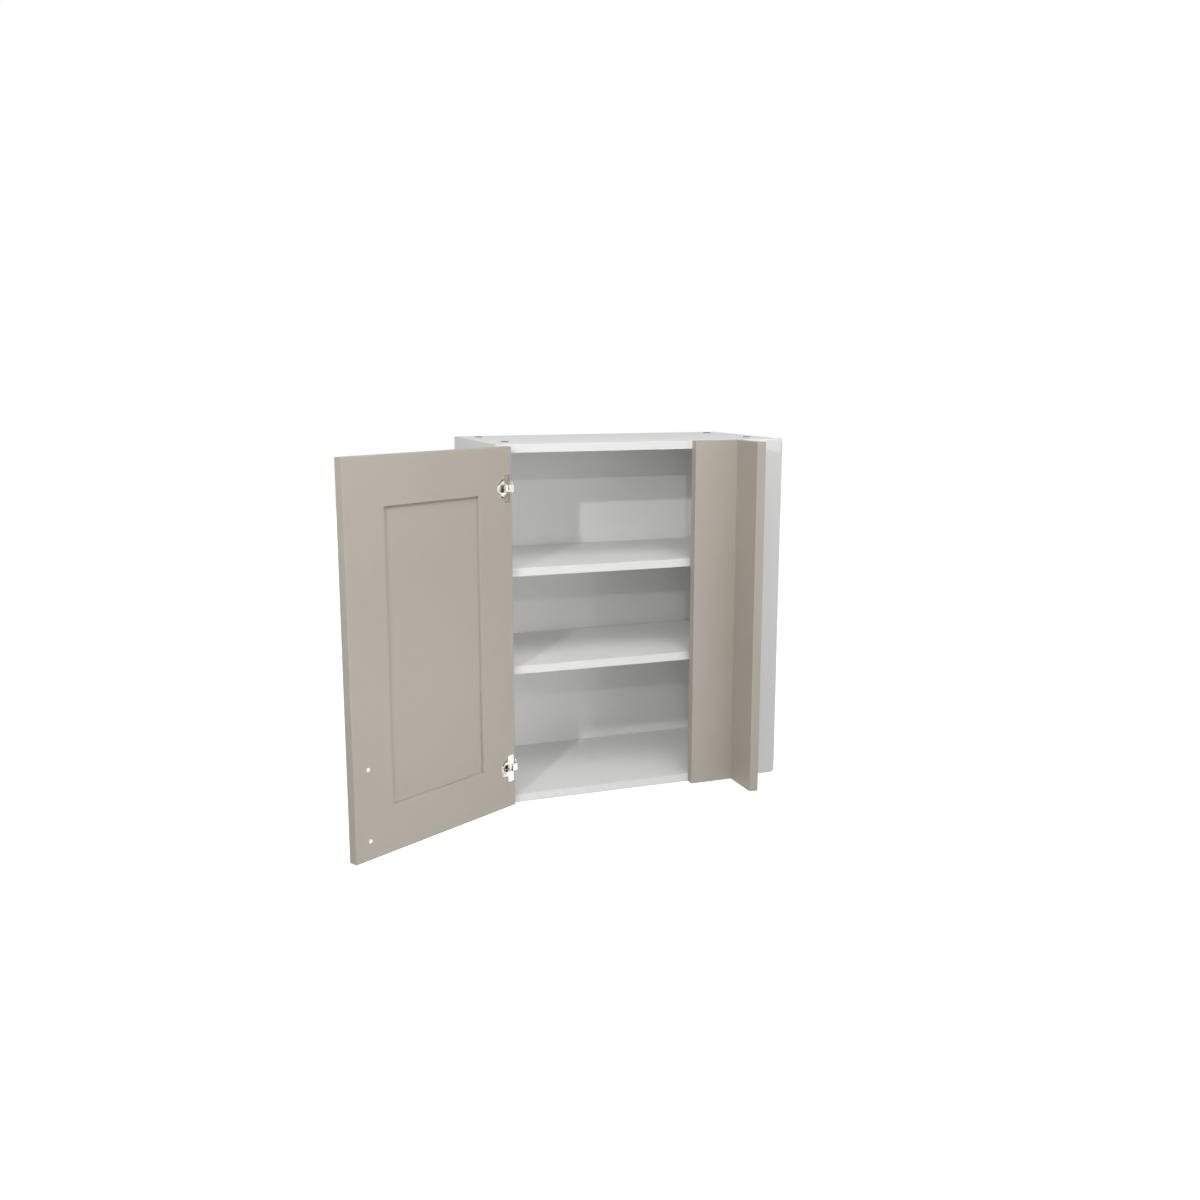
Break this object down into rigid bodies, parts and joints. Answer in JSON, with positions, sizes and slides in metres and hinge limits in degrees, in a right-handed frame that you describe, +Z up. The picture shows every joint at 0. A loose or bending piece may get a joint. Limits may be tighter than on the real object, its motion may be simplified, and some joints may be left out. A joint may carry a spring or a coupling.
{
  "type": "corner wall cabinet",
  "caption": "Open-shelved corner wall cabinet with a framed door on wide-opening cup hinges at the left, a bow handle on the door's outer face, an L-shaped corner post and a plain blank panel beside it",
  "frame": {"origin": "on the wall plane, at mid width of the carcass, at the foot of the carcass", "axes": "+Z up, +Y from the room into the wall, +X to the viewer's right along the wall"},
  "size_m": [0.9255, 0.5336, 0.7],
  "materials": {
    "white_board": "white melamine-faced chipboard, smooth satin",
    "white_hardboard": "white lacquered hardboard",
    "taupe_paint": "taupe painted fibreboard, matt",
    "beech": "plain beech",
    "nickel_steel": "nickel plated, bright",
    "satin_nickel": "brushed nickel, satin",
    "zinc_steel": "zinc plated",
    "cam_zinc": "die-cast zinc, dull",
    "white_plastic": "white moulded plastic"
  },
  "bodies": {
    "carcass": {"left_side_panel": "white_board", "right_side_panel": "white_board", "top_panel": "white_board", "bottom_panel": "white_board", "back_sheet": "white_hardboard", "upper_shelf": "white_board", "lower_shelf": "white_board", "upper_shelf_pegs": "nickel_steel", "lower_shelf_pegs": "nickel_steel", "dowels": "beech", "top_cam_locks": "cam_zinc", "bottom_cam_locks": "cam_zinc", "top_cam_bolts": "zinc_steel", "bottom_cam_bolts": "zinc_steel", "left_hanger_case": "white_plastic", "right_hanger_case": "white_plastic", "hanger_hooks": "zinc_steel", "hanger_screws": "zinc_steel", "post_face_panel": "taupe_paint", "post_return_panel": "taupe_paint", "blank_panel": "white_board", "joining_plates": "zinc_steel", "corner_brackets": "zinc_steel", "plate_and_bracket_screws": "zinc_steel", "upper_hinge_plate": "nickel_steel", "lower_hinge_plate": "nickel_steel", "hinge_plate_screws": "nickel_steel", "upper_hinge_arm": "nickel_steel", "lower_hinge_arm": "nickel_steel", "hinge_arm_screws": "nickel_steel", "hinge_arm_pins": "nickel_steel"},
    "upper_link": {"upper_hinge_link": "nickel_steel"},
    "lower_link": {"lower_hinge_link": "nickel_steel"},
    "door": {"door_hinge_stile": "taupe_paint", "door_handle_stile": "taupe_paint", "door_top_rail": "taupe_paint", "door_bottom_rail": "taupe_paint", "door_centre_panel": "taupe_paint", "door_handle": "satin_nickel", "handle_screws": "nickel_steel", "upper_hinge_cup": "nickel_steel", "lower_hinge_cup": "nickel_steel", "hinge_cup_pins": "nickel_steel", "hinge_cup_screws": "nickel_steel"}
  },
  "joints": [
    {"name": "upper_link_swing", "type": "hinge", "parent": "carcass", "child": "upper_link", "pos_m": [-0.271, -0.321, 0.62], "axis": [0, 0, 1], "range_deg": [-25.01, 0.01]},
    {"name": "lower_link_swing", "type": "hinge", "parent": "carcass", "child": "lower_link", "pos_m": [-0.271, -0.321, 0.08], "axis": [0, 0, 1], "range_deg": [-25.01, 0.01]},
    {"name": "door_swing", "type": "hinge", "parent": "upper_link", "child": "door", "pos_m": [-0.28481, -0.33516, 0.62], "axis": [0, 0, 1], "range_deg": [0, 175]}
  ],
  "couplings": [
    {"joint": "upper_link_swing", "follows": "door_swing", "ratio": -0.14286},
    {"joint": "lower_link_swing", "follows": "door_swing", "ratio": -0.14286}
  ]
}
